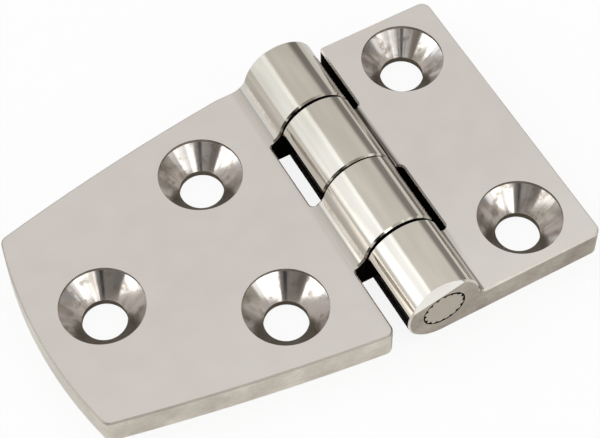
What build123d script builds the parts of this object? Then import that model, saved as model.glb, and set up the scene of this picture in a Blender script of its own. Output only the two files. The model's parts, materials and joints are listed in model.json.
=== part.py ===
"""Short-sided boat door hinge in cast stainless steel, built as the real one is made.

Two castings share one barrel of four knuckles and turn on a pressed-in pin:

  long_leaf   tapered plate with an arched outer end, three countersunk screw holes,
              the far knuckle and the third knuckle
  short_leaf  rectangular plate, two countersunk screw holes, the second knuckle and
              the near knuckle
  hinge_pin   plain pin, knurled where it is pressed into the near knuckle

Sizes are in millimetres. +X points from the pin to the short leaf, +Y along the pin to
its plain end, +Z out of the countersunk faces. The flat backs lie on Z = 0, and the
origin is below the middle of the opened hinge.
"""

import os
from math import atan, cos, hypot, pi, radians, sin, sqrt, tan

from build123d import *

# Driving sizes
barrel_length = 38.0          # along the pin, all four knuckles
long_reach = 39.8             # pin axis to the top of the long leaf's arched end
short_reach = 20.6            # pin axis to the short leaf's straight outer edge
outer_width = 26.6            # long leaf, across the ends of its outer arc
plate_thickness = 3.9
pin_diameter = 4.7
screw_hole_diameter = 5.1     # clears a 5 mm or number 10 screw
screw_head_diameter = 9.7     # mouth of the countersink
countersink_angle = 82.0      # full angle of a flat-head screw

# Barrel and knuckles
fold_gap = 1.2                # between the plates when the hinge is folded shut
barrel_radius = plate_thickness + fold_gap / 2
loose_gap = 0.3               # seams opened by the end play
tight_gap = 0.12              # seam closed by the end play
end_grind = 0.3               # ground off the near knuckle after the pin is pressed in
far_grind = 0.6               # the same at the far knuckle, behind the short leaf's end
knuckle_length = (barrel_length + end_grind - 2 * loose_gap - tight_gap) / 4
notch_gap = 1.4               # barrel to the notch wall of the other leaf
notch_reach = barrel_radius + notch_gap
notch_corner = 0.6            # cast radius inside a notch
long_cove = 2.0               # hollow between knuckle and plate, long leaf
short_cove = 1.2              # the same on the short leaf, where it is tighter
edge_break = 0.2              # edges broken all round both castings before polishing

# Knuckle ends along Y, from the plain end of the pin to the knurled end
far_end = barrel_length / 2
near_end = -barrel_length / 2
ground_end = far_end - far_grind
first_stop = far_end - knuckle_length
second_start = first_stop - loose_gap
second_stop = second_start - knuckle_length
third_start = second_stop - tight_gap
third_stop = third_start - knuckle_length
fourth_start = third_stop - loose_gap

# Outline of the long leaf
end_rise = 1.7                          # height of the outer arc over its chord
side_bow = 0.45                         # how far each side bulges from straight
far_shoulder = barrel_radius + 3.7      # where the far side leaves the barrel's end
shoulder_reach = barrel_radius + 0.5    # where the near side would leave it
shoulder_round = 6.0
long_corner = 1.2                       # plan radius of the two outer corners
long_notch_tip = 1.0                    # plan radius of the tip beside the near knuckle

# Outline of the short leaf
short_corner = 1.1
short_notch_tip = 0.5

# Screw holes
screw_radius = screw_hole_diameter / 2
head_radius = screw_head_diameter / 2
cone_depth = (head_radius - screw_radius) / tan(radians(countersink_angle / 2))
countersink_lip = 0.45        # short straight wall above the cone
inner_margin = 8.75           # long leaf: notch wall to the row of two
outer_margin = 7.83           # long leaf: outermost hole to the arched end
rim_wall = 1.5                # least metal between a countersink and a side
row_reach = notch_reach + inner_margin
tip_reach = long_reach - outer_margin
chord_reach = long_reach - end_rise
row_share = (row_reach - shoulder_reach) / (chord_reach - shoulder_reach)
row_half_width = barrel_length / 2 - row_share * (barrel_length - outer_width) / 2
row_half = min((tip_reach - row_reach) / sqrt(3), row_half_width - head_radius - rim_wall)
pair_edge = 6.9               # short leaf: holes to the outer edge
pair_end = 6.2                # short leaf: hole to the end of the leaf
pair_reach = max(short_reach - pair_edge, notch_reach + head_radius + rim_wall)
pair_half = barrel_length / 2 - pair_end

# Pin
pin_radius = pin_diameter / 2
running_clearance = 0.05      # pin in the long leaf's knuckles, on the radius
second_clearance = 0.03       # pin in the short leaf's second knuckle, on the radius
knurl_height = 0.3            # teeth over the plain pin
knurl_teeth = 16
knurl_press = 0.02            # teeth bite this far into the near knuckle
knurl_run_out = 1.4           # plain length left in the near knuckle
knurl_length = fourth_start - near_end - knurl_run_out
knurl_crest = pin_radius + knurl_height
press_bore = knurl_crest - knurl_press
pin_chamfer = 0.3

# Dressed barrel ends
facet_angle = 106.0           # direction of the ground facet round the near end, from +X
facet_depth = 0.45            # how far the facet reaches along the barrel
facet_chord = press_bore + 0.2

# The opened hinge is centred on the origin
pin_place = (long_reach - short_reach) / 2
over = 5.0                    # cutters run past what they cut by this much


def leaf_profile(reach, cove):
    """Side view of one leaf, towards +X: plate, full barrel and the cove between them."""
    rise = plate_thickness + cove - barrel_radius
    span = barrel_radius + cove
    foot = sqrt(span ** 2 - rise ** 2)
    share = barrel_radius / span
    touch = (foot * share, barrel_radius + rise * share)
    back = hypot(foot / span, rise / span + 1)
    middle = (
        foot - cove * foot / span / back,
        plate_thickness + cove - cove * (rise / span + 1) / back,
    )
    with BuildSketch(Plane.XZ) as view:
        with BuildLine():
            ThreePointArc((0, 0), (-barrel_radius, barrel_radius), touch)
            ThreePointArc(touch, middle, (foot, plate_thickness))
            Polyline((foot, plate_thickness), (reach, plate_thickness), (reach, 0), (0, 0))
        make_face()
    return view.sketch


def bowed_middle(start, stop, bow):
    """Middle point of an arc from start to stop that bulges to its left by bow."""
    run = (stop[0] - start[0], stop[1] - start[1])
    length = hypot(*run)
    return (
        (start[0] + stop[0]) / 2 - run[1] / length * bow,
        (start[1] + stop[1]) / 2 + run[0] / length * bow,
    )


def long_plan():
    """Top view of the long leaf, towards +X."""
    half = barrel_length / 2
    outer = outer_width / 2
    far = (far_shoulder, ground_end)
    near = (shoulder_reach, -half)
    far_tip = (chord_reach, outer)
    near_tip = (chord_reach, -outer)
    with BuildSketch() as plan:
        with BuildLine():
            ThreePointArc(near_tip, (long_reach, 0), far_tip)
            ThreePointArc(far, bowed_middle(far, far_tip, side_bow), far_tip)
            ThreePointArc(near_tip, bowed_middle(near_tip, near, side_bow), near)
            Polyline(far, (-barrel_radius, ground_end), (-barrel_radius, -half), near)
        make_face()
        fillet(plan.vertices().sort_by(Axis.X)[-2:], long_corner)
        fillet(plan.vertices().sort_by(Axis.X)[2:4], shoulder_round)
    return plan.sketch


def short_plan():
    """Top view of the short leaf, towards +X."""
    width = short_reach + barrel_radius
    with BuildSketch() as plan:
        with Locations(((short_reach - barrel_radius) / 2, 0)):
            Rectangle(width, barrel_length)
        fillet(plan.vertices().sort_by(Axis.X)[-2:], short_corner)
    return plan.sketch


def notch(low, high):
    """Cutter that clears the other leaf's knuckle between low and high along Y."""
    start = -barrel_radius - over
    with BuildSketch() as plan:
        with Locations(((start + notch_reach) / 2, (low + high) / 2)):
            Rectangle(notch_reach - start, high - low)
        inner = [v for v in plan.vertices() if v.X > 0 and abs(v.Y) < barrel_length / 2]
        fillet(inner, notch_corner)
    return extrude(plan.sketch, 2 * barrel_radius + over)


def screw_hole(x, y):
    """Cutter for one countersunk screw hole: through hole, cone and shallow lip."""
    cone_top = plate_thickness - countersink_lip
    hole = Pos(x, y, plate_thickness / 2) * Cylinder(screw_radius, plate_thickness + over)
    cone = Pos(x, y, cone_top - cone_depth / 2) * Cone(screw_radius, head_radius, cone_depth)
    lip = Pos(x, y, cone_top + over / 2) * Cylinder(head_radius, over)
    return hole + cone + lip


def pin_bore(radius, low, high):
    """Cutter round the pin axis between low and high along Y."""
    return Pos(0, (low + high) / 2, barrel_radius) * Rot(90, 0, 0) * Cylinder(radius, high - low)


def near_facet():
    """Cutter for the ground facet over the pin at the near barrel end."""
    turn = radians(facet_angle)
    lean = atan(facet_depth / (barrel_radius - facet_chord))
    point = (facet_chord * cos(turn), near_end, barrel_radius + facet_chord * sin(turn))
    face = Plane(
        origin=point,
        x_dir=(-sin(turn), 0, cos(turn)),
        z_dir=(cos(turn) * sin(lean), -cos(lean), sin(turn) * sin(lean)),
    )
    return extrude(face * Rectangle(4 * barrel_radius, 2 * barrel_radius), over)


def tip_edges(solid, side):
    """Upright edge of the plate tip beside an open notch, on the given side along Y."""
    found = []
    for edge in solid.edges().filter_by(Axis.Z):
        middle = edge.center()
        if abs(middle.X - notch_reach) < 0.01 and middle.Y * side > barrel_length * 0.45:
            found.append(edge)
    return found


def outline_edges(solid):
    """Edges that are broken: every one that is not upright or along a tangent line."""
    found = []
    for edge in solid.edges():
        start, stop = edge @ 0, edge @ 1
        upright = hypot(start.X - stop.X, start.Y - stop.Y) < 1e-4 and edge.geom_type == GeomType.LINE
        along_pin = hypot(start.X - stop.X, start.Z - stop.Z) < 1e-4
        smooth = along_pin and abs(start.X - notch_reach) > 0.01 and abs(start.X - short_reach) > 0.01
        if edge.geom_type == GeomType.LINE and (upright or smooth):
            continue
        found.append(edge)
    return found


def leaf_casting(reach, cove, plan, notches, side, tip_radius):
    """One leaf towards +X, before its holes: profile, plan, notches and broken edges."""
    casting = extrude(leaf_profile(reach, cove), barrel_length / 2, both=True)
    casting = casting & extrude(plan, 2 * barrel_radius + over)
    for low, high in notches:
        casting = casting - notch(low, high)
    solid = casting.solids()[0]
    solid = solid.fillet(tip_radius, tip_edges(solid, side))
    return solid.chamfer(edge_break, None, outline_edges(solid))


def make_long_leaf():
    """Long leaf in place: built towards +X, then turned over to the -X side."""
    notches = [(third_start, first_stop), (near_end - over, third_stop)]
    leaf = leaf_casting(long_reach, long_cove, long_plan(), notches, -1, long_notch_tip)
    for x, y in ((row_reach, row_half), (row_reach, -row_half), (tip_reach, 0)):
        leaf = leaf - screw_hole(x, y)
    leaf = leaf - pin_bore(pin_radius + running_clearance, near_end, far_end + over)
    return Pos(pin_place, 0, 0) * mirror(leaf, Plane.YZ)


def make_short_leaf():
    """Short leaf in place, with the tighter bore for the knurl in its near knuckle."""
    notches = [(second_start, far_end + over), (fourth_start, second_stop)]
    leaf = leaf_casting(short_reach, short_cove, short_plan(), notches, 1, short_notch_tip)
    leaf = leaf - near_facet()
    for y in (pair_half, -pair_half):
        leaf = leaf - screw_hole(pair_reach, y)
    leaf = leaf - pin_bore(pin_radius + second_clearance, second_stop - over / 9, far_end)
    leaf = leaf - pin_bore(press_bore, near_end - over, fourth_start + over / 9)
    return Pos(pin_place, 0, 0) * leaf


def make_hinge_pin():
    """Pin flush with both barrel ends, with straight knurl teeth at the near end."""
    length = ground_end - near_end
    shank = Pos(0, 0, length / 2) * Cylinder(pin_radius, length)
    shank = chamfer(shank.edges().sort_by(Axis.Z)[-1], pin_chamfer)
    pitch = 2 * pi / knurl_teeth
    points = []
    for tooth in range(knurl_teeth):
        for share, radius in ((0.0, pin_radius), (0.28, knurl_crest), (0.72, knurl_crest)):
            angle = (tooth + share) * pitch
            points.append((radius * cos(angle), radius * sin(angle)))
    teeth = extrude(make_face(Polyline(*points, close=True)), knurl_length)
    pin = shank + teeth
    return Pos(pin_place, near_end, barrel_radius) * Rot(-90, 0, 0) * pin


os.makedirs("parts", exist_ok=True)
pieces = {
    "long_leaf": make_long_leaf(),
    "short_leaf": make_short_leaf(),
    "hinge_pin": make_hinge_pin(),
}
for name, piece in pieces.items():
    solids = piece.solids()
    box = piece.bounding_box()
    print(name, len(solids), "solid,", round(piece.volume, 1), "mm3,", box.min, box.max)
    export_step(piece, os.path.join("parts", name + ".step"))
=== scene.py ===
# %% [markdown]
# # A boat door hinge in cast stainless steel
#
# Two castings and a pin make this hinge. The long leaf goes on the door, the short leaf on
# the frame, and the pin holds their four knuckles in one row. The solids come from the CAD
# model, so their sizes and places are right before Blender starts. What Blender adds is the
# finish: which face was buffed, which was turned on a drill press, which was only cast.
#
# Everything is in metres, in the frame of the CAD model: the pin runs along Y, the backs of
# the leaves lie on Z = 0, and the countersunk faces look up. The near end of the barrel, where
# the knurled end of the pin shows, is the one with the lowest Y.

# %% Load the solids
import json
from math import cos, pi, radians, sin, tan

import bpy
import numpy as np
from mathutils import Matrix, Vector


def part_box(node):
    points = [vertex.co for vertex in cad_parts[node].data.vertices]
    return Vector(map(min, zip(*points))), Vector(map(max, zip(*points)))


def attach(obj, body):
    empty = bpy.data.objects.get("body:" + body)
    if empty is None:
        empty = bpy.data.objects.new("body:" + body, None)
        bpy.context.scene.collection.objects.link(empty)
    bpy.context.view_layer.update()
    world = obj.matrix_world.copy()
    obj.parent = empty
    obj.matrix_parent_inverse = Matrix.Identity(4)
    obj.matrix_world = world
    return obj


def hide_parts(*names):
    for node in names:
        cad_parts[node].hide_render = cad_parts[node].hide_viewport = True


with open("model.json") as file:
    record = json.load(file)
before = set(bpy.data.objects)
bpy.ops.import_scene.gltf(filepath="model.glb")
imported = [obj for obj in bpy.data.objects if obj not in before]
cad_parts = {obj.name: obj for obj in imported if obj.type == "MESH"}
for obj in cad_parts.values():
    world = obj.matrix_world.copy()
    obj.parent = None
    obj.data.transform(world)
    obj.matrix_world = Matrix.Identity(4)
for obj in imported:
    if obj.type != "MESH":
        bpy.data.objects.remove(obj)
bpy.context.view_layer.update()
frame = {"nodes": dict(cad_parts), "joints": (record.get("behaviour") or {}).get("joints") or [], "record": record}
MM = 0.001
print("solids:", sorted(frame["nodes"]))

# %% [markdown]
# ## Where things are
#
# The joint says where the pin is, and the two screw patterns say where the holes are. Reading
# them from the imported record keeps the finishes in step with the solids: if a hole moves, its
# turned rings move with it. The few sizes that no record holds are the ones a maker would
# read off the drawing, and they stand here with their names.

# %% Places and sizes
pin_x, _, pin_z = frame["joints"][0]["pos_m"]
pin_place_mm = (pin_x / MM, 0, pin_z / MM)
barrel_radius = pin_z
plate_top = 3.9 * MM
notch_reach = 5.9 * MM
head_radius = 4.85 * MM
screw_radius = 2.55 * MM
bore_radius = 2.63 * MM


def screw_spots(mount):
    """Centres of one leaf's screw holes, from its mount in the record."""
    x, y, _ = mount["pos_m"]
    sizes = mount["dims"]
    if "pcd_mm" in sizes:
        ring = sizes["pcd_mm"] / 2 * MM
        return [(x + ring * cos(turn), y + ring * sin(turn)) for turn in (pi, pi / 3, -pi / 3)]
    half = sizes["spacing_y_mm"] / 2 * MM
    return [(x, y + half), (x, y - half)]


mounts = {mount["name"]: mount for mount in frame["record"]["mounts"]}
long_spots = screw_spots(mounts["door_screws"])
short_spots = screw_spots(mounts["frame_screws"])
print("screw holes:", len(long_spots), "long leaf,", len(short_spots), "short leaf")

# %% [markdown]
# ## Helpers for colours and nodes
#
# Every colour is written as the sRGB hex value a picture editor shows. Cycles works in linear
# light, so one function converts it. Node trees are built in code, and one function adds a
# node of any kind, sets it and links it, so a material reads as a list of what it is made of.
#
# A socket goes by its number where Blender gives several the same name. In a colour Mix, 0 is
# the factor and 6 and 7 are the two colours. In a Map Range, 0 is the value, 1 and 2 are the
# range it comes from, and 3 and 4 the range it goes to.

# %% Colour and node helpers
def linear(hex_colour):
    """Linear RGBA for an sRGB hex colour such as C0FFEE."""
    channels = [int(hex_colour[i:i + 2], 16) / 255 for i in (0, 2, 4)]
    return [c / 12.92 if c <= 0.04045 else ((c + 0.055) / 1.055) ** 2.4 for c in channels] + [1.0]


def add_node(tree, kind, inputs=None, **settings):
    """Add one node: settings are its own fields, inputs are values or sockets to link."""
    node = tree.nodes.new(kind)
    for field, value in settings.items():
        setattr(node, field, value)
    for place, value in (inputs or {}).items():
        if isinstance(value, bpy.types.NodeSocket):
            tree.links.new(value, node.inputs[place])
        else:
            node.inputs[place].default_value = value
    return node


print("grey card", [round(c, 3) for c in linear("CCC4BE")])

# %% [markdown]
# All the metals begin alike: a Principled shader with Metallic at 1, and the surface point in
# millimetres on Object coordinates, so that every pattern has a real size. They end alike too,
# with a colour, a roughness that follows a pattern, and a relief for the bump. Between the two
# stand the patterns that make one steel different from another. A mask says where a pattern
# counts. It is the product of smooth steps, one for each limit.

# %% Steel and mask helpers
def start_steel(name):
    """New metal: its tree, its shader and the surface point in millimetres."""
    material = bpy.data.materials.new(name)
    material.use_nodes = True
    tree = material.node_tree
    shader = tree.nodes["Principled BSDF"]
    shader.inputs["Metallic"].default_value = 1.0
    place = add_node(tree, "ShaderNodeTexCoord")
    point = add_node(tree, "ShaderNodeVectorMath", {0: place.outputs["Object"], "Scale": 1 / MM},
                     operation="SCALE")
    return material, tree, shader, point.outputs[0]


def within(tree, *limits):
    """Mask from 0 to 1 of where all limits hold.

    Each limit is a value, where it begins to count and where it counts in full.
    """
    mask = 1.0
    for value, start, full in limits:
        step = add_node(tree, "ShaderNodeMapRange", {0: value, 1: start, 2: full},
                        interpolation_type="SMOOTHSTEP")
        both = add_node(tree, "ShaderNodeMath", {0: mask, 1: step.outputs[0]}, operation="MULTIPLY")
        mask = both.outputs[0]
    return mask


def dress(tree, shader, colour, pattern, roughness, height, depth_mm):
    """Give the shader its colour, a roughness that follows a pattern, and its relief.

    roughness holds the values where the pattern is 0 and where it is 1. depth_mm is how high
    the relief stands where height is 1.
    """
    rough = add_node(tree, "ShaderNodeMapRange", {0: pattern, 3: roughness[0], 4: roughness[1]})
    bump = add_node(tree, "ShaderNodeBump", {"Height": height, "Distance": depth_mm * MM})
    tree.links.new(colour, shader.inputs["Base Color"])
    tree.links.new(rough.outputs[0], shader.inputs["Roughness"])
    tree.links.new(bump.outputs[0], shader.inputs["Normal"])


print("steel helpers: start_steel, within, dress")

# %% [markdown]
# ## Buffed stainless steel
#
# The tops of both leaves and the whole barrel are buffed on a soft wheel after casting. Buffing
# leaves three things to see: a clean warm grey mirror, a slow waviness of a few millimetres
# where the wheel dug in, and faint lines along the stroke. Noise gives the waves, and noise with
# its coordinates squeezed along the pin gives the lines and the long flat ripples of the barrel.
#
# The lines are some hundredths of a millimetre apart on the metal. They are drawn 0.3 mm apart
# here, because finer ones would fall between the pixels.

# %% Marks of the buffing wheel
buffing_wave_mm = 3.2
buffing_line_mm = 0.3
barrel_ripple_mm = 1.5
line_squeeze = (1.0, 0.04, 1.0)
ripple_squeeze = (1.0, 0.15, 1.0)


def buffing_marks(tree, point):
    """Waves, fine lines and barrel ripples, each a pattern from 0 to 1."""
    wave = add_node(tree, "ShaderNodeTexNoise",
                    {"Vector": point, "Scale": 1 / buffing_wave_mm, "Detail": 2.0, "Roughness": 0.4})
    stroke = add_node(tree, "ShaderNodeVectorMath", {0: point, 1: line_squeeze}, operation="MULTIPLY")
    line = add_node(tree, "ShaderNodeTexNoise",
                    {"Vector": stroke.outputs[0], "Scale": 1 / buffing_line_mm, "Detail": 1.0})
    along = add_node(tree, "ShaderNodeVectorMath", {0: point, 1: ripple_squeeze}, operation="MULTIPLY")
    ripple = add_node(tree, "ShaderNodeTexNoise",
                      {"Vector": along.outputs[0], "Scale": 1 / barrel_ripple_mm, "Detail": 1.0})
    return wave.outputs[0], line.outputs[0], ripple.outputs[0]


print("buffing lines:", buffing_line_mm, "mm apart, waves:", buffing_wave_mm, "mm")

# %% [markdown]
# The barrel was worked over by hand along its length, so it is a shade warmer than the plates.
# Barrel and plates are painted brighter towards the near end, a painted sheen, the short leaf's
# plate more than the long one's. The hollow between barrel and plate is painted in shade: on the
# long leaf only a little darker, on the short leaf, where it is tighter, a streaky dark brown line.
#
# All this could be painted on a picture. Masks on the distance from the pin are shorter, stay
# sharp at any size and need no unwrapped mesh.

# %% Colour of the buffed leaves
near_end_mm = (-4, -20)
near_sheen_gain = 0.6
wave_gain = 0.4
barrel_ends_mm = (22, -22)
barrel_fade = 0.35
hollow_top_mm = (2.0, 1.6)
streak_limits = (0.05, 0.5)


def buffed_colour(tree, place, marks, on_barrel, leaf):
    """Colour of one leaf: its plate, its barrel with a painted sheen at the near end, and painted shade in the
    hollow.
    """
    x, y, z = place
    wave, line, ripple = marks
    start, full = near_end_mm
    # Painted sheen: the plate's colour is painted brighter towards its near end.
    near = add_node(tree, "ShaderNodeMapRange",
                    {0: y, 1: start, 2: full, 3: 0.0, 4: near_sheen_gain * leaf["painted near sheen"]})
    shade = add_node(tree, "ShaderNodeMath", {0: wave, 1: wave_gain, 2: near.outputs[0]},
                     operation="MULTIPLY_ADD")
    plate = add_node(tree, "ShaderNodeMix",
                     {0: shade.outputs[0], 6: linear("C9C2BC"), 7: linear("D8D3CD")}, data_type="RGBA")
    far_end, near_end = barrel_ends_mm
    # Painted sheen: the barrel's colour is painted brighter towards its near end, over its random ripples.
    ripple_and_sheen = add_node(tree, "ShaderNodeMapRange",
                    {0: y, 1: far_end, 2: near_end, 3: -barrel_fade, 4: barrel_fade})
    ripple_and_sheen = add_node(tree, "ShaderNodeMath", {0: ripple, 1: ripple_and_sheen.outputs[0]}, operation="ADD")
    barrel = add_node(tree, "ShaderNodeMix",
                      {0: ripple_and_sheen.outputs[0], 6: linear("B1AA9D"), 7: linear("CDC7BC")}, data_type="RGBA")
    buffed = add_node(tree, "ShaderNodeMix",
                      {0: on_barrel, 6: plate.outputs[2], 7: barrel.outputs[2]}, data_type="RGBA")
    # Painted shade in the hollow between barrel and plate, streaked along the buffing lines: a little darker on
    # the long leaf, dark brown on the short one.
    start, full, fading, gone = leaf["hollow x"]
    hollow_shade = within(tree, (x, start, full), (x, gone, fading), (y, *leaf["hollow y"]),
                  (z, *leaf["hollow z"]), (z, *hollow_top_mm), (line, *streak_limits))
    hollow = add_node(tree, "ShaderNodeMix",
                      {0: hollow_shade, 6: buffed.outputs[2], 7: linear(leaf["hollow shade colour"])},
                      data_type="RGBA")
    return hollow.outputs[2]


print("barrel fades by", barrel_fade, "each way over", barrel_ends_mm[0] - barrel_ends_mm[1], "mm")

# %% [markdown]
# The wheel also changed the shape, by too little to model. Each leaf was buffed by itself, and the
# wheel took more off one side of its knuckles than off the other, so the bands of light on the
# two leaves don't quite meet at the seams. A lean of a few degrees in the bump gives that. Next to
# the slots the wheel rolled over the side of the knuckle and left it steeper. That side mirrors
# the dark slot below it, whose walls and floor carry painted shade, which is why the slots look so
# black and crisp. On the long leaf the wheel flattened the foot of the hollow, which leaves a thin
# line of light next to the painted shade of the hollow.

# %% Relief of the buffed leaves
buffing_depth_mm = 0.012
line_share = 0.02
flank_tilt = radians(14)
flank_starts_mm = (0.0, 0.1)


def buffed_relief(tree, place, marks, on_barrel, leaf):
    """Height of one leaf's relief, in units of buffing_depth_mm."""
    x, _, z = place
    wave, line, ripple = marks
    relief = add_node(tree, "ShaderNodeMath", {0: line, 1: line_share, 2: wave},
                      operation="MULTIPLY_ADD")
    relief = add_node(tree, "ShaderNodeMath", {0: ripple, 1: on_barrel, 2: relief.outputs[0]},
                      operation="MULTIPLY_ADD")
    half = barrel_radius / MM
    rise = half * tan(leaf["lean"]) / buffing_depth_mm
    slant = add_node(tree, "ShaderNodeMapRange", {0: x, 1: -half, 2: half, 3: -rise, 4: rise})
    relief = add_node(tree, "ShaderNodeMath", {0: relief.outputs[0], 1: slant.outputs[0]},
                      operation="ADD")
    aside = add_node(tree, "ShaderNodeMath", {0: x, 1: leaf["slot side"]}, operation="MULTIPLY")
    flank = within(tree, (aside.outputs[0], *flank_starts_mm))
    drop = leaf["flank"] * tan(flank_tilt) / buffing_depth_mm
    fall = add_node(tree, "ShaderNodeMapRange", {0: z, 1: leaf["flank"], 2: 0.0, 3: 0.0, 4: -drop})
    relief = add_node(tree, "ShaderNodeMath", {0: flank, 1: fall.outputs[0], 2: relief.outputs[0]},
                      operation="MULTIPLY_ADD")
    plate_z = (plate_top - pin_z) / MM
    step = leaf["foot"] / buffing_depth_mm
    foot = add_node(tree, "ShaderNodeMapRange",
                    {0: z, 1: plate_z, 2: plate_z + leaf["foot"], 3: step, 4: 0.0})
    hollow_side = add_node(tree, "ShaderNodeMath", {0: 1.0, 1: flank}, operation="SUBTRACT")
    relief = add_node(tree, "ShaderNodeMath",
                      {0: hollow_side.outputs[0], 1: foot.outputs[0], 2: relief.outputs[0]},
                      operation="MULTIPLY_ADD")
    return relief.outputs[0]


print("buffing relief:", buffing_depth_mm, "mm")

# %% [markdown]
# The two leaves differ in a few values, with places in millimetres from the axis of the pin. Slot
# side is the side along X on which the knuckles face a slot. Flank is how high that side turns
# steeper, foot how far up the hollow is flattened, and lean the angle that buffing took off the
# round of the barrel. Hollow x says where the painted shade in the hollow starts, is full, begins to
# fade and is gone. Hollow y and z say where it starts and is full, and the hollow shade colour is
# the colour of that painted shade. The painted near sheen, from 0 to 1, is how much brighter the
# near end of the plate is painted.

# %% Buffed stainless
barrel_starts_mm = (-0.5, 1.0)
buffed_roughness = (0.06, 0.13)
long_buffing = {
    "slot side": 1.0, "flank": 3.0, "foot": 0.45, "lean": radians(-3.5), "painted near sheen": 0.4,
    "hollow x": (-6.6, -6.0, -4.3, -3.9), "hollow y": (-30, -25), "hollow z": (-0.95, 0.1),
    "hollow shade colour": "ABA69C",
}
short_buffing = {
    "slot side": -1.0, "flank": 1.3, "foot": 0.01, "lean": radians(3.5), "painted near sheen": 1.0,
    "hollow x": (3.5, 4.0, 5.3, 6.0), "hollow y": (-16, -4), "hollow z": (-2.0, -1.0),
    "hollow shade colour": "3A342B",
}


def buffed_stainless(name, leaf):
    """Buffed steel for one leaf, by the sizes that its buffing gave it."""
    material, tree, shader, point = start_steel(name)
    marks = buffing_marks(tree, point)
    arm = add_node(tree, "ShaderNodeVectorMath", {0: point, 1: pin_place_mm}, operation="SUBTRACT")
    place = add_node(tree, "ShaderNodeSeparateXYZ", {0: arm.outputs[0]}).outputs
    on_barrel = within(tree, (place["Z"], *barrel_starts_mm))
    colour = buffed_colour(tree, place, marks, on_barrel, leaf)
    relief = buffed_relief(tree, place, marks, on_barrel, leaf)
    _, line, _ = marks
    dress(tree, shader, colour, line, buffed_roughness, relief, buffing_depth_mm)
    return material


long_buffed = buffed_stainless("buffed_stainless_long_leaf", long_buffing)
short_buffed = buffed_stainless("buffed_stainless_short_leaf", short_buffing)
print("made", long_buffed.name, "and", short_buffed.name)

# %% [markdown]
# ## Satin edges and ground ends
#
# The sides of the long leaf were run along a fine belt: a satin face with lines that follow the
# edge. The sides and ends of the short leaf were ground on a coarser wheel, the near end together
# with the pin, and are greyer. A small bright facet over the pin was polished after that. The
# sharp edges of the plates were broken: the belt left a pale rim along the slots and round the
# short leaf, and the wheel rolled the outer rim of the long leaf darker. The backs were ground on
# a belt from the barrel outwards.
#
# All are steel with long thin streaks, in patches of about 4 mm where belt or wheel bit deeper.
# Only direction, depth, colour and shine differ, so one function makes them all. The lines of
# a belt are finer than a pixel, so they are drawn coarser, at up to 5 to the millimetre.

# %% Satin and ground stainless
patch_mm = 4.0
patch_limits = (0.3, 0.7)
patch_gain = 0.35


def streaked_stainless(name, colours, roughness, stretch, depth_mm):
    """Steel with belt or wheel lines: stretch gives lines per millimetre along X, Y and Z."""
    material, tree, shader, point = start_steel(name)
    grain = add_node(tree, "ShaderNodeVectorMath", {0: point, 1: stretch}, operation="MULTIPLY")
    lines = add_node(tree, "ShaderNodeTexNoise",
                     {"Vector": grain.outputs[0], "Scale": 1.0, "Detail": 3.0, "Roughness": 0.6})
    patch = add_node(tree, "ShaderNodeTexNoise", {"Vector": point, "Scale": 1 / patch_mm, "Detail": 2.0})
    low, high = patch_limits
    shift = add_node(tree, "ShaderNodeMapRange",
                     {0: patch.outputs[0], 1: low, 2: high, 3: -patch_gain, 4: patch_gain})
    tone = add_node(tree, "ShaderNodeMath", {0: lines.outputs[0], 1: shift.outputs[0]}, operation="ADD")
    dark, pale = colours
    colour = add_node(tree, "ShaderNodeMix", {0: tone.outputs[0], 6: linear(dark), 7: linear(pale)},
                      data_type="RGBA")
    dress(tree, shader, colour.outputs[2], tone.outputs[0], roughness, lines.outputs[0], depth_mm)
    return material


satin_edge = streaked_stainless("belt_satin_stainless_edge", ("A9A193", "DCD4C8"),
                                roughness=(0.28, 0.42), stretch=(1.6, 1.6, 5.0), depth_mm=0.01)
ground_end = streaked_stainless("wheel_ground_stainless_end", ("857B6F", "BDB4A7"),
                                roughness=(0.38, 0.52), stretch=(2.4, 2.4, 4.0), depth_mm=0.012)
polished_facet = streaked_stainless("wheel_polished_stainless_facet", ("E2DED6", "F2EFEA"),
                                    roughness=(0.16, 0.26), stretch=(2.0, 2.0, 5.0), depth_mm=0.006)
broken_rim = streaked_stainless("belt_broken_stainless_rim", ("C4BDB3", "DFDAD2"),
                                roughness=(0.5, 0.62), stretch=(1.6, 1.6, 3.0), depth_mm=0.008)
rolled_rim = streaked_stainless("wheel_rolled_stainless_rim", ("A39C92", "B9B3AA"),
                                roughness=(0.5, 0.62), stretch=(1.6, 1.6, 3.0), depth_mm=0.008)
ground_back = streaked_stainless("belt_ground_stainless_back", ("A8A299", "C2BCB3"),
                                 roughness=(0.3, 0.45), stretch=(0.3, 5.0, 1.0), depth_mm=0.01)
for steel in (satin_edge, ground_end, polished_facet, broken_rim, rolled_rim, ground_back):
    print("made", steel.name)

# %% [markdown]
# ## Turned countersinks
#
# A cone is straight down its slope, so each line from lip to hole looks at one spot of the studio,
# and the countersinks show bright and dark wedges that meet at the hole. The bit leaves fine
# circular grooves, which spread the reflection down the slope. Anisotropic reflection does that.
# Its tangent has to run down the slope, so it is worked out from the nearest hole's centre.
#
# Smears of cutting oil, about a millimetre across, dull the steel in places, and so do the streaks
# that a chattering bit leaves down the slope. The grooves are drawn 0.35 mm apart, coarser than
# a bit leaves them, so that they show.

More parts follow.
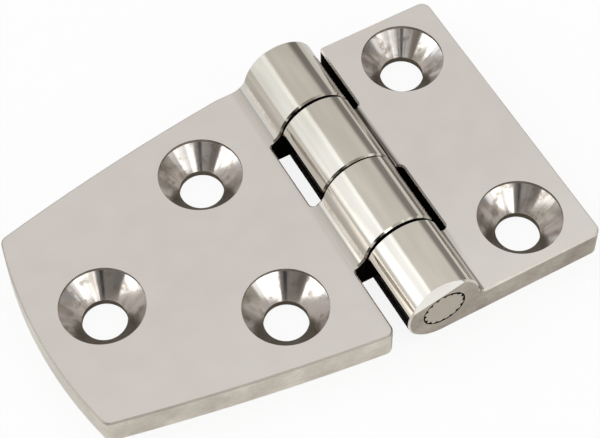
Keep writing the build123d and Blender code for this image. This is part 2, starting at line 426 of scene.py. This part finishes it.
# %% Nearest screw hole
def nearest_hole(tree, point, spots):
    """Flat arrow to the point from the nearest hole centre, and its length, in millimetres."""
    nearest, reach = None, None
    for x, y in spots:
        centre = (x / MM, y / MM, 0)
        arm = add_node(tree, "ShaderNodeVectorMath", {0: point, 1: centre}, operation="SUBTRACT")
        flat = add_node(tree, "ShaderNodeVectorMath", {0: arm.outputs[0], 1: (1, 1, 0)},
                        operation="MULTIPLY")
        length = add_node(tree, "ShaderNodeVectorMath", {0: flat.outputs[0]}, operation="LENGTH")
        if nearest is None:
            nearest, reach = flat.outputs[0], length.outputs["Value"]
            continue
        closer = add_node(tree, "ShaderNodeMath", {0: length.outputs["Value"], 1: reach},
                          operation="LESS_THAN")
        pick = add_node(tree, "ShaderNodeMix", {0: closer.outputs[0], 4: nearest, 5: flat.outputs[0]},
                        data_type="VECTOR")
        least = add_node(tree, "ShaderNodeMath", {0: length.outputs["Value"], 1: reach},
                         operation="MINIMUM")
        nearest, reach = pick.outputs[1], least.outputs[0]
    return nearest, reach


all_spots = long_spots + short_spots
print("nearest of", len(all_spots), "holes")

# %% [markdown]
# The straight part of a screw hole below its cone is only drilled: duller, with lines round the
# hole. It is made like the streaked steels above.

# %% Turned and drilled stainless
ring_pitch_mm = 0.35
ring_depth_mm = 0.0015
smear_mm = 1.3
chatter_marks = 26
chatter_drift = 0.08
groove_anisotropy = 0.6
smear_limits = (0.3, 0.5)
chatter_limits = (0.2, 0.5)
cone_roughness = (0.24, 0.15)


def turned_stainless(name, spots):
    """Conical countersinks round all the given hole centres, with turned rings."""
    material, tree, shader, point = start_steel(name)
    nearest, reach = nearest_hole(tree, point, spots)
    slope = add_node(tree, "ShaderNodeVectorTransform", {0: nearest}, vector_type="VECTOR",
                     convert_from="OBJECT", convert_to="WORLD")
    tree.links.new(slope.outputs[0], shader.inputs["Tangent"])
    shader.inputs["Anisotropic"].default_value = groove_anisotropy
    turn = add_node(tree, "ShaderNodeMath", {0: reach, 1: 1 / ring_pitch_mm}, operation="MULTIPLY")
    rings = add_node(tree, "ShaderNodeTexNoise", {"W": turn.outputs[0], "Scale": 1.0, "Detail": 2.0},
                     noise_dimensions="1D")
    smear = add_node(tree, "ShaderNodeTexNoise", {"Vector": point, "Scale": 1 / smear_mm, "Detail": 3.0})
    toward = add_node(tree, "ShaderNodeVectorMath", {0: nearest}, operation="NORMALIZE")
    drift = add_node(tree, "ShaderNodeVectorMath", {0: point, "Scale": chatter_drift}, operation="SCALE")
    bite = add_node(tree, "ShaderNodeVectorMath",
                    {0: toward.outputs[0], 1: [chatter_marks / (2 * pi)] * 3, 2: drift.outputs[0]},
                    operation="MULTIPLY_ADD")
    chatter = add_node(tree, "ShaderNodeTexNoise",
                       {"Vector": bite.outputs[0], "Scale": 1.0, "Detail": 2.0})
    clean = within(tree, (smear.outputs[0], *smear_limits), (chatter.outputs[0], *chatter_limits))
    colour = add_node(tree, "ShaderNodeMix", {0: clean, 6: linear("A59C94"), 7: linear("D2CDC8")},
                      data_type="RGBA")
    dress(tree, shader, colour.outputs[2], clean, cone_roughness, rings.outputs[0], ring_depth_mm)
    return material


turned_cone = turned_stainless("turned_stainless_countersink", all_spots)
drilled_land = streaked_stainless("drilled_stainless_land", ("BFB8AC", "D6D0C5"),
                                  roughness=(0.4, 0.55), stretch=(0.6, 0.6, 5.0), depth_mm=0.006)
print("made", turned_cone.name, "with", len(turned_cone.node_tree.nodes), "nodes")
print("made", drilled_land.name)

# %% [markdown]
# ## As-cast notches
#
# Between the knuckles and inside the seams nothing was buffed. The skin of the casting is there
# as it left the mould, darker and grainy. Grain of about a third of a millimetre and a rough metal
# keep those gaps deep, and their colour is almost black: partly the dark skin, partly painted
# shade. A dark tint on their reflection is painted shade as well, and keeps them from flashing
# where they are seen at a flat angle.

# %% As-cast stainless
cast_grain_mm = 0.35
cast_depth_mm = 0.03
cast_roughness = (0.55, 0.75)
as_cast_in_shade, tree, shader, point = start_steel("as_cast_stainless_notch_in_painted_shade")
grain = add_node(tree, "ShaderNodeTexNoise",
                 {"Vector": point, "Scale": 1 / cast_grain_mm, "Detail": 4.0, "Roughness": 0.65})
# Painted shade: the skin is coloured almost black, darker than cast steel, and its reflection is tinted dark.
skin_and_painted_shade = add_node(tree, "ShaderNodeMix", {0: grain.outputs[0], 6: linear("120F0C"), 7: linear("2A2620")},
                data_type="RGBA")
dress(tree, shader, skin_and_painted_shade.outputs[2], grain.outputs[0], cast_roughness, grain.outputs[0], cast_depth_mm)
shader.inputs["Specular Tint"].default_value = linear("2A2620")
print("made", as_cast_in_shade.name)

# %% [markdown]
# ## Which face got which finish
#
# The castings stay as the CAD model made them: their outline is right, and each face already has
# exact normals. A face is sorted by where it lies and which way it looks, as a polisher would
# sort them by what the wheel can reach. NumPy reads all centres and normals at once, and each
# rule paints the faces it fits, later rules over earlier ones.
#
# A normal's part along an axis is the cosine of the angle between them, so the limits below say
# how steep or how square to the pin a face has to be.

# %% Sort the faces of the castings
finishes = ["buffed", "edge", "cone", "land", "cast", "back", "facet", "slot rim", "outer rim"]
upright, steep, tilted, underneath, square = 0.3, 0.6, 0.85, 0.9, 0.99
hair = 0.02 * MM
end_depth = 1.0 * MM
rim_depth = 0.3 * MM
notch_wall_depth = 0.7 * MM
bore_skin = 0.1 * MM


def sort_faces(node, spots, plate_side):
    """Index into finishes for each face of a casting; plate_side is -1 or +1 along X."""
    faces = frame["nodes"][node].data.polygons
    centre = np.empty(3 * len(faces))
    normal = np.empty(3 * len(faces))
    faces.foreach_get("center", centre)
    faces.foreach_get("normal", normal)
    x, y, z = centre.reshape(-1, 3).T
    nx, ny, nz = normal.reshape(-1, 3).T
    low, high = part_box(node)
    out = plate_side * (x - pin_x)
    from_axis = np.hypot(x - pin_x, z - pin_z)
    inside = (y > low.y + end_depth) & (y < high.y - end_depth)
    finish = np.zeros(len(faces), int)

    def paint(name, where):
        finish[where] = finishes.index(name)

    paint("edge", np.abs(nz) < steep)
    paint("buffed", (from_axis < barrel_radius + hair) & (np.abs(ny) < square))
    rim = (np.abs(nz) < tilted) & (nz > upright) & (z > plate_top - rim_depth) & (z < plate_top)
    paint("slot rim", rim & inside & (out > notch_reach - hair))
    paint("outer rim", rim & (~inside | (out > notch_reach + rim_depth)))
    paint("back", nz < -underneath)
    paint("facet", (from_axis < barrel_radius) & ~inside & (ny < -tilted) & (ny > -square))
    # Faces painted cast get the almost black steel, which is partly painted shade in the gaps.
    paint("cast", inside & (out < notch_reach + hair) & (np.abs(ny) > tilted))
    notch_wall = (plate_side * nx < -upright) & (np.abs(nz) < steep)
    paint("cast", inside & notch_wall & (out > barrel_radius + hair)
          & (out < notch_reach + notch_wall_depth))
    paint("cast", (from_axis < bore_radius + bore_skin) & (np.abs(ny) < square))
    for spot_x, spot_y in spots:
        in_hole = np.hypot(x - spot_x, y - spot_y) < head_radius + hair
        paint("cone", in_hole & (z > hair) & (z < plate_top - hair))
        paint("land", in_hole & (np.abs(nz) < upright))
    return finish


for node, spots, plate_side, buffed, side, outer_rim in (
    ("long_leaf", long_spots, -1, long_buffed, satin_edge, rolled_rim),
    ("short_leaf", short_spots, 1, short_buffed, ground_end, broken_rim),
):
    casting = frame["nodes"][node]
    casting.data.materials.clear()
    for material in (buffed, side, turned_cone, drilled_land, as_cast_in_shade, ground_back, polished_facet,
                     broken_rim, outer_rim):
        casting.data.materials.append(material)
    finish = sort_faces(node, spots, plate_side)
    casting.data.polygons.foreach_set("material_index", finish)
    print(node, {name: int((finish == i).sum()) for i, name in enumerate(finishes)})

# %% [markdown]
# ## The knurled pin
#
# The pin is a plain rod with straight knurl teeth at the near end, where it is pressed into the
# short leaf. Only its ends show: a smooth disc with a ring of dark gaps round it, one between
# each two teeth. A knurl is one tooth repeated round an axis, which is a job for Geometry Nodes.
# The mesh below is one slice of the pin, as wide as one tooth and open at both cut sides. The
# tree sets a copy at each step round the axis and merges the copies into one closed pin.

# %% One slice of the pin
teeth = 16
pin_radius = 2.35 * MM
crest_radius = 2.65 * MM
knurl_length = 7.695 * MM
pin_chamfer = 0.3 * MM
tooth_bevel = 0.18 * MM
pin_low, pin_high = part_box("hinge_pin")
step = 2 * pi / teeth
tooth = [(0.0, pin_radius), (0.32, crest_radius), (0.68, crest_radius), (1.0, pin_radius)]
plain = [(share, pin_radius) for share, _ in tooth]
ground_tooth = [(share, radius - tooth_bevel) for share, radius in tooth]
tip = [(share, pin_radius - pin_chamfer) for share, _ in plain]
rows = [
    (pin_low.y, ground_tooth),
    (pin_low.y + 2 * tooth_bevel, tooth),
    (pin_low.y + knurl_length, tooth),
    (pin_low.y + knurl_length, plain),
    (pin_high.y - pin_chamfer, plain),
    (pin_high.y, tip),
]
points = [(r * cos(s * step), y, r * sin(s * step)) for y, row in rows for s, r in row]
near_hub, far_hub = len(points), len(points) + 1
points += [(0, pin_low.y, 0), (0, pin_high.y, 0)]
wide = len(tooth)
starts = [wide * row + i for row in range(len(rows) - 1) for i in range(wide - 1)]
quads = [(i, i + 1, i + wide + 1, i + wide) for i in starts]
last = wide * (len(rows) - 1)
caps = [(near_hub, i + 1, i) for i in range(wide - 1)]
caps += [(far_hub, last + i, last + i + 1) for i in range(wide - 1)]
slice_mesh = bpy.data.meshes.new("pin_slice")
slice_mesh.from_pydata(points, [], quads + caps)
print("pin slice:", len(points), "points,", len(quads + caps), "faces")

# %% [markdown]
# The end of the pin was ground flush with the knuckle, so it takes the same wheel marks, a shade
# browner. The sides of the teeth are painted dark, as painted shade in the gaps. In patches of
# about 2 mm that painted shade runs over the teeth too and joins two or three gaps.

# %% Knurled pin steel
shade_patch_mm = 2.2
shade_patch_limits = (0.48, 0.54)
wheel_lines_per_mm = (1.2, 1.2, 4.0)
wheel_depth_mm = 0.006
end_mm = pin_low.y / MM
rod_mm = pin_radius / MM
bevel_mm = (pin_radius - tooth_bevel) / MM
behind_end_mm = (end_mm + 0.01, end_mm + 0.05)
gap_mm = (bevel_mm - 0.06, bevel_mm - 0.02)
patchy_shade_mm = (rod_mm - 0.04, rod_mm + 0.02)
pin_roughness = (0.36, 0.5)
pin_steel, tree, shader, point = start_steel("ground_and_knurled_stainless_pin")
arm = add_node(tree, "ShaderNodeVectorMath", {0: point, 1: pin_place_mm}, operation="SUBTRACT")
across = add_node(tree, "ShaderNodeVectorMath", {0: arm.outputs[0], 1: (1, 0, 1)}, operation="MULTIPLY")
radius = add_node(tree, "ShaderNodeVectorMath", {0: across.outputs[0]}, operation="LENGTH")
split = add_node(tree, "ShaderNodeSeparateXYZ", {0: arm.outputs[0]})
inside = add_node(tree, "ShaderNodeMapRange",
                  {0: split.outputs["Y"], 1: behind_end_mm[0], 2: behind_end_mm[1]})
# Painted shade: behind the end face the sides of the teeth are coloured almost black, and in patches the teeth
# too.
gap_shade_ring = add_node(tree, "ShaderNodeMapRange",
                 {0: radius.outputs["Value"], 1: gap_mm[0], 2: gap_mm[1]})
gap_shade = add_node(tree, "ShaderNodeMath", {0: inside.outputs[0], 1: gap_shade_ring.outputs[0]}, operation="MULTIPLY")
shade_patch = add_node(tree, "ShaderNodeTexNoise", {"Vector": point, "Scale": 1 / shade_patch_mm, "Detail": 2.0})
patchy_shade = within(tree, (radius.outputs["Value"], *patchy_shade_mm), (shade_patch.outputs[0], *shade_patch_limits))
gap_shade = add_node(tree, "ShaderNodeMath", {0: gap_shade.outputs[0], 1: patchy_shade}, operation="MAXIMUM")
wheel = add_node(tree, "ShaderNodeVectorMath", {0: point, 1: wheel_lines_per_mm}, operation="MULTIPLY")
marks = add_node(tree, "ShaderNodeTexNoise", {"Vector": wheel.outputs[0], "Scale": 1.0, "Detail": 3.0})
face = add_node(tree, "ShaderNodeMix", {0: marks.outputs[0], 6: linear("A69D90"), 7: linear("BAB1A3")},
                data_type="RGBA")
colour = add_node(tree, "ShaderNodeMix", {0: gap_shade.outputs[0], 6: face.outputs[2], 7: linear("15120F")},
                  data_type="RGBA")
dress(tree, shader, colour.outputs[2], marks.outputs[0], pin_roughness, marks.outputs[0], wheel_depth_mm)
print("made", pin_steel.name)

# %% [markdown]
# The tree has named inputs for the number of teeth, the place of the axis and the metal. It turns
# the copies one step further each, makes them real, merges the points where two slices meet and
# gives the whole its metal.

# %% Tree that turns the slice round the axis
merge_distance = 0.002 * MM
knurl = bpy.data.node_groups.new("knurled_pin", "GeometryNodeTree")
sockets = {}
for name, kind in (("Slice", "NodeSocketGeometry"), ("Teeth", "NodeSocketInt"),
                   ("Axis Place", "NodeSocketVector"), ("Metal", "NodeSocketMaterial")):
    sockets[name] = knurl.interface.new_socket(name, in_out="INPUT", socket_type=kind).identifier
knurl.interface.new_socket("Pin", in_out="OUTPUT", socket_type="NodeSocketGeometry")
given = add_node(knurl, "NodeGroupInput").outputs
spots_round = add_node(knurl, "GeometryNodePoints", {"Count": given["Teeth"]})
index = add_node(knurl, "GeometryNodeInputIndex")
turn_step = add_node(knurl, "ShaderNodeMath", {0: 2 * pi, 1: given["Teeth"]}, operation="DIVIDE")
angle = add_node(knurl, "ShaderNodeMath", {0: index.outputs[0], 1: turn_step.outputs[0]},
                 operation="MULTIPLY")
spin = add_node(knurl, "ShaderNodeCombineXYZ", {"Y": angle.outputs[0]})
copies = add_node(knurl, "GeometryNodeInstanceOnPoints",
                  {"Points": spots_round.outputs[0], "Instance": given["Slice"],
                   "Rotation": spin.outputs[0]})
placed = add_node(knurl, "GeometryNodeTransform",
                  {"Geometry": copies.outputs[0], "Translation": given["Axis Place"]})
real = add_node(knurl, "GeometryNodeRealizeInstances", {0: placed.outputs[0]})
closed = add_node(knurl, "GeometryNodeMergeByDistance",
                  {"Geometry": real.outputs[0], "Distance": merge_distance})
painted = add_node(knurl, "GeometryNodeSetMaterial",
                   {"Geometry": closed.outputs[0], "Material": given["Metal"]})
add_node(knurl, "NodeGroupOutput", {0: painted.outputs[0]})
print("knurl tree:", len(knurl.nodes), "nodes, inputs", sorted(sockets))

# %% [markdown]
# A modifier input is set by the identifier of its socket, and before the object is evaluated for
# the first time. The result is then turned into a plain mesh, which takes the place of the CAD
# pin and moves with the frame side of the hinge.

# %% Make the pin
sharp_angle = radians(25)
pattern = bpy.data.objects.new("pin_pattern", slice_mesh)
bpy.context.scene.collection.objects.link(pattern)
turner = pattern.modifiers.new("turn", "NODES")
turner.node_group = knurl
turner[sockets["Teeth"]] = teeth
turner[sockets["Axis Place"]] = (pin_x, 0.0, pin_z)
turner[sockets["Metal"]] = pin_steel
ready = pattern.evaluated_get(bpy.context.evaluated_depsgraph_get())
pin_mesh = bpy.data.meshes.new_from_object(ready)
bpy.data.objects.remove(pattern)
pin_mesh.shade_smooth()
pin_mesh.set_sharp_from_angle(angle=sharp_angle)
knurled_pin = bpy.data.objects.new("knurled_pin", pin_mesh)
bpy.context.scene.collection.objects.link(knurled_pin)
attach(knurled_pin, "frame_side")
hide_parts("hinge_pin")
print("pin:", len(pin_mesh.polygons), "faces,", teeth, "teeth")

# %% [markdown]
# ## The floor
#
# The hinge lies on a plain white sheet. A sheet lit at a plain level would come out pale grey. More
# light would whiten it, but the steel would burn out with it. So most of the sheet's colour is
# given directly to mirror and glass rays, and camera rays go through most of it to a white world.
# That also keeps a leaf in sight that swings below the floor. What is left is an ordinary matt
# surface, which keeps the shadow.
#
# Straight under a screw hole and under the barrel the sheet is in deep shade, and mirror rays that
# come down there find it dark. A ray that starts right at the sheet comes from the back of
# a leaf, seen from below, so the shade of the barrel leaves it alone.

# %% Shade on the paper
paper = bpy.data.materials.new("white_paper_floor")
paper.use_nodes = True
tree = paper.node_tree
place = add_node(tree, "ShaderNodeTexCoord").outputs["Object"]
ray = add_node(tree, "ShaderNodeLightPath").outputs
point = add_node(tree, "ShaderNodeVectorMath", {0: place, "Scale": 1 / MM}, operation="SCALE")
_, reach = nearest_hole(tree, point.outputs[0], all_spots)
hole_mm = screw_radius / MM
beside_hole_mm = (hole_mm + 0.05, hole_mm + 0.2)
beside = within(tree, (reach, *beside_hole_mm))
aside = add_node(tree, "ShaderNodeVectorMath", {0: point.outputs[0], 1: (pin_x / MM, 0, 0)},
                 operation="SUBTRACT")
aside = add_node(tree, "ShaderNodeVectorMath", {0: aside.outputs[0]}, operation="ABSOLUTE")
aside_x, aside_y, _ = add_node(tree, "ShaderNodeSeparateXYZ", {0: aside.outputs[0]}).outputs
notch_mm = notch_reach / MM
slot_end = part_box("short_leaf")[1].y / MM
barrel_side_mm = (notch_mm + 0.5, notch_mm - 0.1)
barrel_end_mm = (slot_end, slot_end - 1)
off_the_back = (0.2 * MM, 0.5 * MM)
under = within(tree, (aside_x, *barrel_side_mm), (aside_y, *barrel_end_mm),
               (ray["Ray Length"], *off_the_back))
clear = add_node(tree, "ShaderNodeMath", {0: 1.0, 1: under}, operation="SUBTRACT")
clear = add_node(tree, "ShaderNodeMath", {0: clear.outputs[0], 1: beside}, operation="MULTIPLY")
print("shade under", len(all_spots), "holes and", round(2 * slot_end, 1), "mm of barrel")

# %% [markdown]
# The matt surface, the white that mirrors and glass see, and the clear part for the camera are
# three shaders, mixed by what kind of ray asks.

# %% Paper of the floor
white_share = 0.88
fibre_mm = 2.5
paper_roughness = 0.9
fibre = add_node(tree, "ShaderNodeTexNoise",
                 {"Vector": place, "Scale": 1 / (fibre_mm * MM), "Detail": 2.0})
sheet = add_node(tree, "ShaderNodeMix", {0: fibre.outputs[0], 6: linear("F3F2F0"), 7: linear("FAF9F8")},
                 data_type="RGBA")
mirrored = add_node(tree, "ShaderNodeMath", {0: ray["Is Glossy Ray"], 1: clear.outputs[0]},
                    operation="MULTIPLY")
shaded = add_node(tree, "ShaderNodeMath", {0: ray["Is Glossy Ray"], 1: mirrored.outputs[0]},
                  operation="SUBTRACT")
shade = add_node(tree, "ShaderNodeMix", {0: under, 6: linear("6C665D"), 7: linear("1C1916")},
                 data_type="RGBA")
tone = add_node(tree, "ShaderNodeMix", {0: shaded.outputs[0], 6: sheet.outputs[2], 7: shade.outputs[2]},
                data_type="RGBA")
matt = tree.nodes["Principled BSDF"]
matt.inputs["Roughness"].default_value = paper_roughness
tree.links.new(tone.outputs[2], matt.inputs["Base Color"])
seen = add_node(tree, "ShaderNodeMath", {0: mirrored.outputs[0], 1: ray["Is Transmission Ray"]},
                operation="MAXIMUM")
glowing = add_node(tree, "ShaderNodeMath", {0: seen.outputs[0], 1: white_share}, operation="MULTIPLY")
white = add_node(tree, "ShaderNodeEmission", {"Color": (1, 1, 1, 1), "Strength": 1.0})
mixed = add_node(tree, "ShaderNodeMixShader",
                 {0: glowing.outputs[0], 1: matt.outputs[0], 2: white.outputs[0]})
thin = add_node(tree, "ShaderNodeMath", {0: ray["Is Camera Ray"], 1: white_share}, operation="MULTIPLY")
through = add_node(tree, "ShaderNodeBsdfTransparent")
mixed = add_node(tree, "ShaderNodeMixShader",
                 {0: thin.outputs[0], 1: mixed.outputs[0], 2: through.outputs[0]})
tree.links.new(mixed.outputs[0], tree.nodes["Material Output"].inputs["Surface"])
print("made", paper.name, "with", len(tree.nodes), "nodes")

# %% [markdown]
# The sheet itself is one large face, a hair below the backs of the leaves. It is stage, not
# a piece of the hinge.

# %% Floor
floor_half = 1.5
floor_z = -0.05 * MM
corners = [(-1, -1), (1, -1), (1, 1), (-1, 1)]
floor_mesh = bpy.data.meshes.new("floor")
floor_mesh.from_pydata([(x * floor_half, y * floor_half, floor_z) for x, y in corners], [],
                       [(0, 1, 2, 3)])
floor_mesh.materials.append(paper)
floor = bpy.data.objects.new("floor", floor_mesh)
bpy.context.scene.collection.objects.link(floor)
print("floor:", 2 * floor_half, "m wide")

# %% [markdown]
# ## The studio
#
# Polished steel shows its surroundings more than its own colour. The bands on the barrel and the
# wedges in the countersinks are pictures of a studio. Lamps could be set up for it, but a world
# shader draws the studio all round without a lamp's hard edges, and costs no geometry. It starts
# from a sky that changes only with height: a pale ceiling, a grey band of walls and pale ground.

# %% Sky
world = bpy.data.worlds.new("studio")
bpy.context.scene.world = world
world.use_nodes = True
tree = world.node_tree
around = add_node(tree, "ShaderNodeTexCoord").outputs["Generated"]
height = add_node(tree, "ShaderNodeSeparateXYZ", {0: around}).outputs["Z"]
level = add_node(tree, "ShaderNodeVectorMath", {0: around, 1: (1, 1, 0)}, operation="MULTIPLY")
compass = add_node(tree, "ShaderNodeVectorMath", {0: level.outputs[0]}, operation="NORMALIZE")
sky = add_node(tree, "ShaderNodeValToRGB", {0: height})
stops = sky.color_ramp.elements
for elevation, bright in ((0.3, 0.85), (1.5, 0.34), (19, 0.34), (30, 0.97)):
    stop = stops.new(sin(radians(elevation)))
    stop.color = (bright, bright, bright, 1)
stops[0].color = (0.85, 0.85, 0.85, 1)
stops[-1].color = (1.0, 1.0, 1.0, 1)
light = sky.outputs[0]
print("sky:", len(stops), "stops")

# %% [markdown]
# Over the sky lie the things that stand in the studio, each a window in azimuth and height with
# soft borders. On the left is a large soft box in three panels, brighter towards the top, and
# a strip lamp in front of a dark room. In front on the right are two more strips with a glow
# beside them. Above them and behind the camera the room is dark, and the camera's own stand is
# a thin black bar. Later entries lie over earlier ones. To the camera the world is plain white.

# %% Studio light
# azimuth of the middle, half width, lowest and highest elevation and border in degrees, linear colour
boxes = {
    "dark room on the left": (184, 28, 0, 43, 4, (0.38, 0.36, 0.34, 1)),
    "left soft box": (134, 24, 1, 51, 1.5, (1.40, 1.47, 1.57, 1)),
    "its middle panel": (134, 24, 21, 51, 3, (1.54, 1.62, 1.73, 1)),
    "its top panel": (134, 24, 43, 51, 1.5, (1.76, 1.85, 1.96, 1)),
    "left strip": (172, 20, 7, 28, 3, (3.0, 3.02, 3.02, 1)),
    "front right glow": (-52, 10, 4, 20, 6, (1.5, 1.5, 1.5, 1)),
    "front right strip": (-71, 14, -2, 22.5, 2, (2.9, 2.92, 2.92, 1)),
    "front strip": (-95, 10, -2, 27, 2, (2.9, 2.92, 2.92, 1)),
    "dark room above them": (-80, 31, 28, 52, 2.5, (0.4, 0.39, 0.37, 1)),
    "dark room behind the camera": (-136, 32, 0, 29, 3, (0.20, 0.185, 0.17, 1)),
    "dark camera stand": (-118, 4, -4, 36, 2, (0.02, 0.02, 0.025, 1)),
}
for azimuth, half, lowest, highest, border, colour in boxes.values():
    middle = (cos(radians(azimuth)), sin(radians(azimuth)), 0)
    toward = add_node(tree, "ShaderNodeVectorMath", {0: compass.outputs[0], 1: middle},
                      operation="DOT_PRODUCT")
    edges = [
        (toward.outputs["Value"], cos(radians(half + border)), cos(radians(half - border))),
        (height, sin(radians(lowest - border)), sin(radians(lowest + border))),
        (height, sin(radians(highest + border)), sin(radians(highest - border))),
    ]
    window = within(tree, *edges)
    shown = add_node(tree, "ShaderNodeMix", {0: window, 6: light, 7: colour}, data_type="RGBA")
    light = shown.outputs[2]
ray = add_node(tree, "ShaderNodeLightPath").outputs
light = add_node(tree, "ShaderNodeMix", {0: ray["Is Camera Ray"], 6: light, 7: (1, 1, 1, 1)},
                 data_type="RGBA")
tree.links.new(light.outputs[2], tree.nodes["Background"].inputs["Color"])
bpy.context.scene.view_settings.view_transform = "Standard"
print("studio:", len(boxes), "boxes,", len(tree.nodes), "nodes")

# %% [markdown]
# ## The camera
#
# The camera looks from where the picture was taken. Its place was worked out from the corners and
# hole centres in the picture: a long lens from the near left, well above the hinge. Three angles,
# a distance and a target say all of it.

# %% Camera
picture_width_px = 600
sensor_width_mm = 36.0
clip_start = 10 * MM
focal_px = 1993.33
azimuth, elevation, roll = radians(-28.149), radians(57.145), radians(-1.310)
distance = 227.41 * MM
target = Vector((3.017, 1.351, 0)) * MM
back = Vector((sin(azimuth) * cos(elevation), -cos(azimuth) * cos(elevation), sin(elevation)))
right = (-back).cross(Vector((0, 0, 1))).normalized()
up = right.cross(-back)
right, up = cos(roll) * right + sin(roll) * up, cos(roll) * up - sin(roll) * right
lens = bpy.data.cameras.new("camera")
lens.sensor_width = sensor_width_mm
lens.lens = focal_px * lens.sensor_width / picture_width_px
lens.clip_start = clip_start
camera = bpy.data.objects.new("camera", lens)
turn = Matrix((right, up, back)).transposed().to_4x4()
camera.matrix_world = Matrix.Translation(target + back * distance) @ turn
bpy.context.scene.collection.objects.link(camera)
bpy.context.scene.camera = camera
print("camera: lens", round(lens.lens, 1), "mm")
